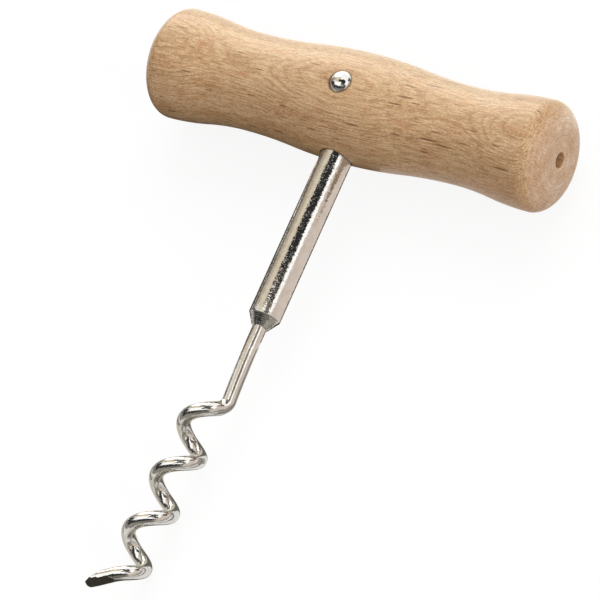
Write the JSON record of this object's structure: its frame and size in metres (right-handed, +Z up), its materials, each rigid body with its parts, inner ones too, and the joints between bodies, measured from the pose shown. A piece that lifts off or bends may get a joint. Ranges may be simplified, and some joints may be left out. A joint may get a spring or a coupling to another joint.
{
  "type": "corkscrew",
  "caption": "Plain corkscrew with a turned wooden cross handle, a plated steel shank held by a rivet, and an open wire worm with a ground point that screws into a cork.",
  "frame": {"origin": "middle of the bounding box, on the floor that the tool lies on", "axes": "+X along the handle towards the end with the hole, +Y from the worm towards the handle, +Z up out of the floor, close to the rivet's axis"},
  "size_m": [0.1, 0.1312, 0.0265],
  "materials": {
    "beech": "satin clear lacquer over turned beech",
    "plated_bar": "bright nickel plate with a fine orange peel",
    "plated_wire": "bright nickel plate on drawn wire, bare steel at the ground point",
    "plated_rivet": "polished nickel plate"
  },
  "bodies": {
    "root": {"handle": "beech", "shank": "plated_bar", "worm": "plated_wire", "rivet": "plated_rivet"}
  },
  "joints": []
}
